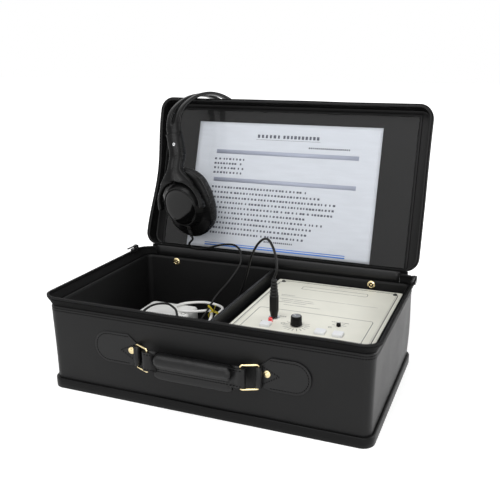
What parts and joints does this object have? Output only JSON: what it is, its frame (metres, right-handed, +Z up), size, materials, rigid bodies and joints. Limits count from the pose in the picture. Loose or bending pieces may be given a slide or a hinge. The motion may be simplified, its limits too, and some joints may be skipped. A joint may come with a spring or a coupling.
{
  "type": "audiometer in carrying case",
  "caption": "Portable screening audiometer: tone generator panel, headset, adapter and instruction sheet in an open leatherette carrying case with a zip lid and a front handle.",
  "frame": {"origin": "centre of the case's underside", "axes": "+X to the right along the front, +Y to the back where the lid is hinged, +Z up"},
  "size_m": [0.4394, 0.4434, 0.3656],
  "materials": {
    "leatherette": "grained satin vinyl",
    "binding_vinyl": "smooth vinyl",
    "lining": "matt lining",
    "board": "grey board",
    "divider_cover": "satin vinyl",
    "gilt_metal": "polished pale gilt",
    "zip_tape": "woven tape",
    "zip_teeth": "nylon coil",
    "zip_metal": "black enamel",
    "handle_leather": "satin leather",
    "clear_vinyl": "clear glossy sheet",
    "sheet_paper": "printed paper",
    "housing_plastic": "black moulded plastic",
    "panel_cream": "cream painted and printed",
    "black_screw": "blackened steel",
    "circuit": "green solder mask",
    "bare_metal": "bright metal",
    "lamp_red": "clear red",
    "knob_black": "fluted black plastic",
    "knob_cap_grey": "glossy grey",
    "button_white": "white keycap",
    "plug_black": "soft black moulding",
    "battery_case": "plain wrapped cell block",
    "headset_plastic": "satin black plastic",
    "driver": "dark baffle",
    "cushion_leather": "soft wrinkled leatherette",
    "cord_black": "black cord",
    "adapter_white": "white moulded plastic",
    "cord_white": "white cord",
    "tie_yellow": "yellow tie"
  },
  "bodies": {
    "case": {"case_walls": "leatherette", "case_floor": "board", "foot_band": "binding_vinyl", "inner_lining": "lining", "divider": "divider_cover", "wall_snaps": "gilt_metal", "hinge_strip": "leatherette", "zip_tape_case": "zip_tape", "zip_chain_case": "zip_teeth", "handle_tabs": "handle_leather", "tab_rivets": "gilt_metal", "housing": "housing_plastic", "front_panel": "panel_cream", "panel_screws": "black_screw", "circuit_board": "circuit", "board_standoffs": "bare_metal", "indicator_lamp": "lamp_red", "volume_control": "bare_metal", "frequency_switch": "housing_plastic", "button_switches": "housing_plastic", "phone_jack": "bare_metal", "battery": "battery_case", "headset_cord_lower": "cord_black", "headset_coil": "cord_black", "headset_cord_plug_end": "cord_black", "adapter_body": "adapter_white", "adapter_cord": "cord_white", "adapter_coil": "cord_white", "cord_tie": "tie_yellow"},
    "lid": {"lid_board": "leatherette", "lid_walls": "leatherette", "lid_zip_tape": "zip_tape", "pocket_binding": "binding_vinyl", "pocket_window": "clear_vinyl", "instruction_sheet": "sheet_paper"},
    "headset": {"headband": "headset_plastic", "headset_cord_upper": "cord_black"},
    "arm_front": {"slider_arm_front": "headset_plastic"},
    "arm_rear": {"slider_arm_rear": "headset_plastic"},
    "cup_front": {"cup_shell_front": "headset_plastic", "cup_driver_front": "driver", "ear_cushion_front": "cushion_leather"},
    "cup_rear": {"cup_shell_rear": "headset_plastic", "cup_driver_rear": "driver", "ear_cushion_rear": "cushion_leather"},
    "plug": {"plug_shaft": "bare_metal", "plug_handle": "plug_black"},
    "volume": {"volume_knob": "knob_black", "knob_cap": "knob_cap_grey"},
    "frequency": {"frequency_knob": "knob_black"},
    "left_button": {"button_left": "button_white"},
    "middle_button": {"button_middle": "button_white"},
    "right_button": {"button_right": "button_white"},
    "grip": {"handle_grip": "handle_leather"},
    "ring_left": {"handle_ring_left": "gilt_metal"},
    "ring_right": {"handle_ring_right": "gilt_metal"},
    "slider_left": {"zip_slider_left": "zip_metal"},
    "slider_right": {"zip_slider_right": "zip_metal"},
    "pull_left": {"zip_pull_left": "zip_metal"},
    "pull_right": {"zip_pull_right": "zip_metal"}
  },
  "joints": [
    {"name": "lid_hinge", "type": "hinge", "parent": "case", "child": "lid", "pos_m": [0, 0.124, 0.1276], "axis": [1, 0, 0], "range_deg": [0, 90], "deforming": ["headset_cord_lower", "headset_cord_upper"]},
    {"name": "headset_lift", "type": "slide", "parent": "lid", "child": "headset", "axis": [0, 0.3132, 0.9497], "range_m": [0, 0.15], "deforming": ["headset_cord_upper"]},
    {"name": "front_arm_slide", "type": "slide", "parent": "headset", "child": "arm_front", "axis": [0.1692, -0.0391, -0.9848], "range_m": [0, 0.015], "deforming": ["headset_cord_upper"]},
    {"name": "rear_arm_slide", "type": "slide", "parent": "headset", "child": "arm_rear", "axis": [0.1692, -0.0391, -0.9848], "range_m": [0, 0.015]},
    {"name": "front_cup_tilt", "type": "hinge", "parent": "arm_front", "child": "cup_front", "pos_m": [-0.13711, 0.10689, 0.20014], "axis": [0.9596, -0.2215, 0.1736], "range_deg": [-20, 0], "deforming": ["headset_cord_upper"]},
    {"name": "rear_cup_tilt", "type": "hinge", "parent": "arm_rear", "child": "cup_rear", "pos_m": [-0.09685, 0.2813, 0.20014], "axis": [0.9596, -0.2215, 0.1736], "range_deg": [0, 20]},
    {"name": "plug_pull", "type": "slide", "parent": "case", "child": "plug", "axis": [0, 0, 1], "range_m": [0, 0.035], "deforming": ["headset_cord_plug_end"]},
    {"name": "volume_turn", "type": "hinge", "parent": "case", "child": "volume", "pos_m": [0.09785, -0.0475, 0.1015], "axis": [0, 0, 1], "range_deg": [-150, 150]},
    {"name": "frequency_turn", "type": "hinge", "parent": "case", "child": "frequency", "pos_m": [0.14685, -0.031, 0.1015], "axis": [0, 0, 1], "range_deg": [-45, 45]},
    {"name": "left_press", "type": "slide", "parent": "case", "child": "left_button", "axis": [0, 0, -1], "range_m": [0, 0.002], "stiffness_N_per_m": 400, "springref_m": -0.001},
    {"name": "middle_press", "type": "slide", "parent": "case", "child": "middle_button", "axis": [0, 0, -1], "range_m": [0, 0.002], "stiffness_N_per_m": 400, "springref_m": -0.001},
    {"name": "right_press", "type": "slide", "parent": "case", "child": "right_button", "axis": [0, 0, -1], "range_m": [0, 0.002], "stiffness_N_per_m": 400, "springref_m": -0.001},
    {"name": "handle_pull", "type": "slide", "parent": "case", "child": "grip", "axis": [0, -1, 0], "range_m": [-0.005, 0.005]},
    {"name": "ring_left_swing", "type": "hinge", "parent": "case", "child": "ring_left", "pos_m": [-0.08, -0.127, 0.067], "axis": [0, 0, 1], "range_deg": [-15, 15]},
    {"name": "ring_right_swing", "type": "hinge", "parent": "case", "child": "ring_right", "pos_m": [0.08, -0.127, 0.067], "axis": [0, 0, 1], "range_deg": [-15, 15]},
    {"name": "zip_left_run", "type": "slide", "parent": "case", "child": "slider_left", "axis": [0, -1, 0], "range_m": [0, 0.18]},
    {"name": "zip_right_run", "type": "slide", "parent": "case", "child": "slider_right", "axis": [0, -1, 0], "range_m": [0, 0.18]},
    {"name": "pull_left_flip", "type": "hinge", "parent": "slider_left", "child": "pull_left", "pos_m": [-0.2165, 0.098, 0.1321], "axis": [1, 0, 0], "range_deg": [-150, 0]},
    {"name": "pull_right_flip", "type": "hinge", "parent": "slider_right", "child": "pull_right", "pos_m": [0.2165, 0.098, 0.1321], "axis": [1, 0, 0], "range_deg": [-150, 0]}
  ],
  "couplings": [
    {"joint": "ring_right_swing", "follows": "handle_pull", "rad_per_m": 52.126},
    {"joint": "ring_left_swing", "follows": "handle_pull", "rad_per_m": -52.126}
  ]
}
